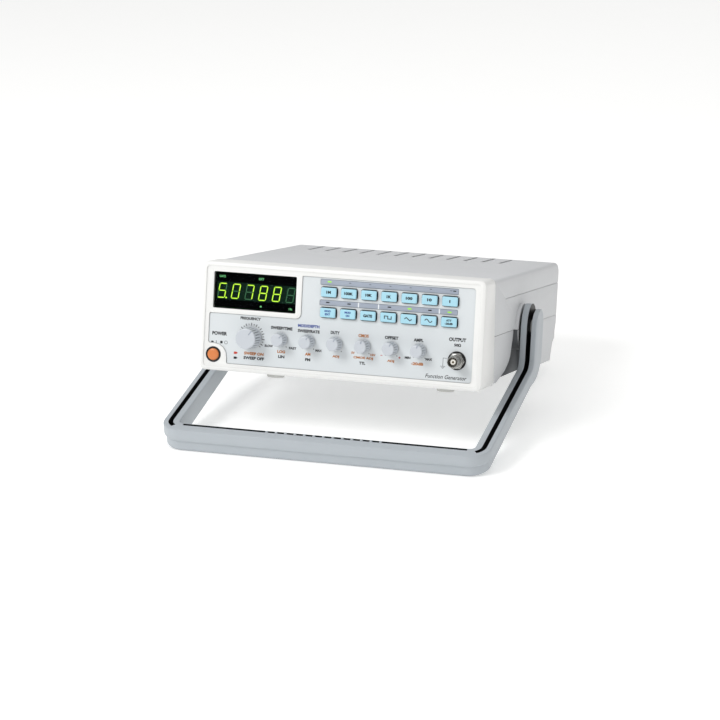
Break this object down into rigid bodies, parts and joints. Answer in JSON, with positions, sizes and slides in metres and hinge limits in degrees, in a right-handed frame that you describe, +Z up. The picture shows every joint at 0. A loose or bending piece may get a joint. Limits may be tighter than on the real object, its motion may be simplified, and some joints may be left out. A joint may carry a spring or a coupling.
{
  "type": "function generator",
  "caption": "Bench signal generator with a sloping front of keys, knobs and a lit numeric display, stood up on its swinging U-shaped carrying handle.",
  "frame": {"origin": "centre of the bounding box on the bench plane, with the handle crossbar and the rear feet resting on it", "axes": "+X to the instrument's right as its user sees it, +Y from the front panel to the back, +Z up"},
  "size_m": [0.289, 0.352, 0.1496],
  "materials": {
    "knob_plastic": "cool grey moulded plastic",
    "nickel": "nickel-plated brass",
    "cover_plastic": "light grey fine-textured plastic",
    "handle_plastic": "blue-grey moulded plastic",
    "zinc_steel": "zinc-plated steel",
    "circuit_board": "green glass-fibre board",
    "overlay_film": "pale blue-grey printed overlay",
    "display_epoxy": "dark green seven-segment display block",
    "smoked_acrylic": "black smoked acrylic window",
    "bezel_plastic": "off-white moulded plastic, satin",
    "foot_rubber": "grey rubber",
    "button_plastic": "light blue moulded plastic",
    "black_plastic": "black moulded plastic",
    "led_bar_film": "grey translucent indicator strip",
    "orange_plastic": "orange moulded plastic",
    "rear_steel": "grey painted sheet steel",
    "transformer_iron": "varnished iron laminations"
  },
  "bodies": {
    "case": {"bottom_case": "cover_plastic", "case_screw_1": "zinc_steel", "case_screw_2": "zinc_steel", "case_screw_3": "zinc_steel", "case_screw_4": "zinc_steel", "control_board": "circuit_board", "control_input_bnc": "nickel", "control_panel": "overlay_film", "display_module": "display_epoxy", "display_window": "smoked_acrylic", "front_bezel": "bezel_plastic", "front_foot_left": "foot_rubber", "front_foot_right": "foot_rubber", "fuse_holder": "black_plastic", "handle_hub_left": "black_plastic", "handle_hub_right": "black_plastic", "handle_screw_left": "zinc_steel", "handle_screw_right": "zinc_steel", "lower_led_bar": "led_bar_film", "main_board": "circuit_board", "mains_inlet": "black_plastic", "output_bnc": "nickel", "rear_foot_left": "foot_rubber", "rear_foot_right": "foot_rubber", "rear_panel": "rear_steel", "sync_bnc": "nickel", "top_cover": "cover_plastic", "transformer": "transformer_iron", "upper_led_bar": "led_bar_film"},
    "handle": {"carry_handle": "handle_plastic"},
    "power_button": {"power_button": "orange_plastic"},
    "range_button_1": {"range_button_1": "button_plastic"},
    "range_button_2": {"range_button_2": "button_plastic"},
    "range_button_3": {"range_button_3": "button_plastic"},
    "range_button_4": {"range_button_4": "button_plastic"},
    "range_button_5": {"range_button_5": "button_plastic"},
    "range_button_6": {"range_button_6": "button_plastic"},
    "range_button_7": {"range_button_7": "button_plastic"},
    "function_button_1": {"function_button_1": "button_plastic"},
    "function_button_2": {"function_button_2": "button_plastic"},
    "function_button_3": {"function_button_3": "button_plastic"},
    "function_button_4": {"function_button_4": "button_plastic"},
    "function_button_5": {"function_button_5": "button_plastic"},
    "function_button_6": {"function_button_6": "button_plastic"},
    "function_button_7": {"function_button_7": "button_plastic"},
    "frequency_shaft": {"frequency_shaft": "nickel"},
    "frequency_knob": {"frequency_knob": "knob_plastic"},
    "sweep_time_shaft": {"sweep_time_shaft": "nickel"},
    "sweep_time_knob": {"sweep_time_knob": "knob_plastic"},
    "sweep_rate_shaft": {"sweep_rate_shaft": "nickel"},
    "sweep_rate_knob": {"sweep_rate_knob": "knob_plastic"},
    "duty_shaft": {"duty_shaft": "nickel"},
    "duty_knob": {"duty_knob": "knob_plastic"},
    "cmos_shaft": {"cmos_shaft": "nickel"},
    "cmos_knob": {"cmos_knob": "knob_plastic"},
    "offset_shaft": {"offset_shaft": "nickel"},
    "offset_knob": {"offset_knob": "knob_plastic"},
    "amplitude_shaft": {"amplitude_shaft": "nickel"},
    "amplitude_knob": {"amplitude_knob": "knob_plastic"}
  },
  "joints": [
    {"name": "handle_swing", "type": "hinge", "parent": "case", "child": "handle", "pos_m": [0, 0.01775, 0.07613], "axis": [-1, 0, 0], "range_deg": [0, 212]},
    {"name": "power_latch", "type": "slide", "parent": "case", "child": "power_button", "axis": [0, -0.981, 0.1939], "range_m": [0, 0.0035]},
    {"name": "range_button_1_press", "type": "slide", "parent": "case", "child": "range_button_1", "axis": [0, 0.981, -0.1939], "range_m": [0, 0.0012], "stiffness_N_per_m": 300},
    {"name": "range_button_2_press", "type": "slide", "parent": "case", "child": "range_button_2", "axis": [0, 0.981, -0.1939], "range_m": [0, 0.0012], "stiffness_N_per_m": 300},
    {"name": "range_button_3_press", "type": "slide", "parent": "case", "child": "range_button_3", "axis": [0, 0.981, -0.1939], "range_m": [0, 0.0012], "stiffness_N_per_m": 300},
    {"name": "range_button_4_press", "type": "slide", "parent": "case", "child": "range_button_4", "axis": [0, 0.981, -0.1939], "range_m": [0, 0.0012], "stiffness_N_per_m": 300},
    {"name": "range_button_5_press", "type": "slide", "parent": "case", "child": "range_button_5", "axis": [0, 0.981, -0.1939], "range_m": [0, 0.0012], "stiffness_N_per_m": 300},
    {"name": "range_button_6_press", "type": "slide", "parent": "case", "child": "range_button_6", "axis": [0, 0.981, -0.1939], "range_m": [0, 0.0012], "stiffness_N_per_m": 300},
    {"name": "range_button_7_press", "type": "slide", "parent": "case", "child": "range_button_7", "axis": [0, 0.981, -0.1939], "range_m": [0, 0.0012], "stiffness_N_per_m": 300},
    {"name": "function_button_1_press", "type": "slide", "parent": "case", "child": "function_button_1", "axis": [0, 0.981, -0.1939], "range_m": [0, 0.0012], "stiffness_N_per_m": 300},
    {"name": "function_button_2_press", "type": "slide", "parent": "case", "child": "function_button_2", "axis": [0, 0.981, -0.1939], "range_m": [0, 0.0012], "stiffness_N_per_m": 300},
    {"name": "function_button_3_press", "type": "slide", "parent": "case", "child": "function_button_3", "axis": [0, 0.981, -0.1939], "range_m": [0, 0.0012], "stiffness_N_per_m": 300},
    {"name": "function_button_4_press", "type": "slide", "parent": "case", "child": "function_button_4", "axis": [0, 0.981, -0.1939], "range_m": [0, 0.0012], "stiffness_N_per_m": 300},
    {"name": "function_button_5_press", "type": "slide", "parent": "case", "child": "function_button_5", "axis": [0, 0.981, -0.1939], "range_m": [0, 0.0012], "stiffness_N_per_m": 300},
    {"name": "function_button_6_press", "type": "slide", "parent": "case", "child": "function_button_6", "axis": [0, 0.981, -0.1939], "range_m": [0, 0.0012], "stiffness_N_per_m": 300},
    {"name": "function_button_7_press", "type": "slide", "parent": "case", "child": "function_button_7", "axis": [0, 0.981, -0.1939], "range_m": [0, 0.0012], "stiffness_N_per_m": 300},
    {"name": "frequency_pull", "type": "slide", "parent": "case", "child": "frequency_shaft", "axis": [0, -0.981, 0.1939], "range_m": [0, 0.004]},
    {"name": "frequency_turn", "type": "hinge", "parent": "frequency_shaft", "child": "frequency_knob", "pos_m": [-0.08, -0.11548, 0.08799], "axis": [0, -0.981, 0.1939], "range_deg": [-150, 150]},
    {"name": "sweep_time_pull", "type": "slide", "parent": "case", "child": "sweep_time_shaft", "axis": [0, -0.981, 0.1939], "range_m": [0, 0.004]},
    {"name": "sweep_time_turn", "type": "hinge", "parent": "sweep_time_shaft", "child": "sweep_time_knob", "pos_m": [-0.053, -0.11539, 0.08848], "axis": [0, -0.981, 0.1939], "range_deg": [-150, 150]},
    {"name": "sweep_rate_pull", "type": "slide", "parent": "case", "child": "sweep_rate_shaft", "axis": [0, -0.981, 0.1939], "range_m": [0, 0.004]},
    {"name": "sweep_rate_turn", "type": "hinge", "parent": "sweep_rate_shaft", "child": "sweep_rate_knob", "pos_m": [-0.0284, -0.11539, 0.08848], "axis": [0, -0.981, 0.1939], "range_deg": [-150, 150]},
    {"name": "duty_pull", "type": "slide", "parent": "case", "child": "duty_shaft", "axis": [0, -0.981, 0.1939], "range_m": [0, 0.004]},
    {"name": "duty_turn", "type": "hinge", "parent": "duty_shaft", "child": "duty_knob", "pos_m": [-0.0038, -0.11539, 0.08848], "axis": [0, -0.981, 0.1939], "range_deg": [-150, 150]},
    {"name": "cmos_pull", "type": "slide", "parent": "case", "child": "cmos_shaft", "axis": [0, -0.981, 0.1939], "range_m": [0, 0.004]},
    {"name": "cmos_turn", "type": "hinge", "parent": "cmos_shaft", "child": "cmos_knob", "pos_m": [0.0208, -0.11539, 0.08848], "axis": [0, -0.981, 0.1939], "range_deg": [-150, 150]},
    {"name": "offset_pull", "type": "slide", "parent": "case", "child": "offset_shaft", "axis": [0, -0.981, 0.1939], "range_m": [0, 0.004]},
    {"name": "offset_turn", "type": "hinge", "parent": "offset_shaft", "child": "offset_knob", "pos_m": [0.0454, -0.11539, 0.08848], "axis": [0, -0.981, 0.1939], "range_deg": [-150, 150]},
    {"name": "amplitude_pull", "type": "slide", "parent": "case", "child": "amplitude_shaft", "axis": [0, -0.981, 0.1939], "range_m": [0, 0.004]},
    {"name": "amplitude_turn", "type": "hinge", "parent": "amplitude_shaft", "child": "amplitude_knob", "pos_m": [0.07, -0.11539, 0.08848], "axis": [0, -0.981, 0.1939], "range_deg": [-150, 150]}
  ]
}
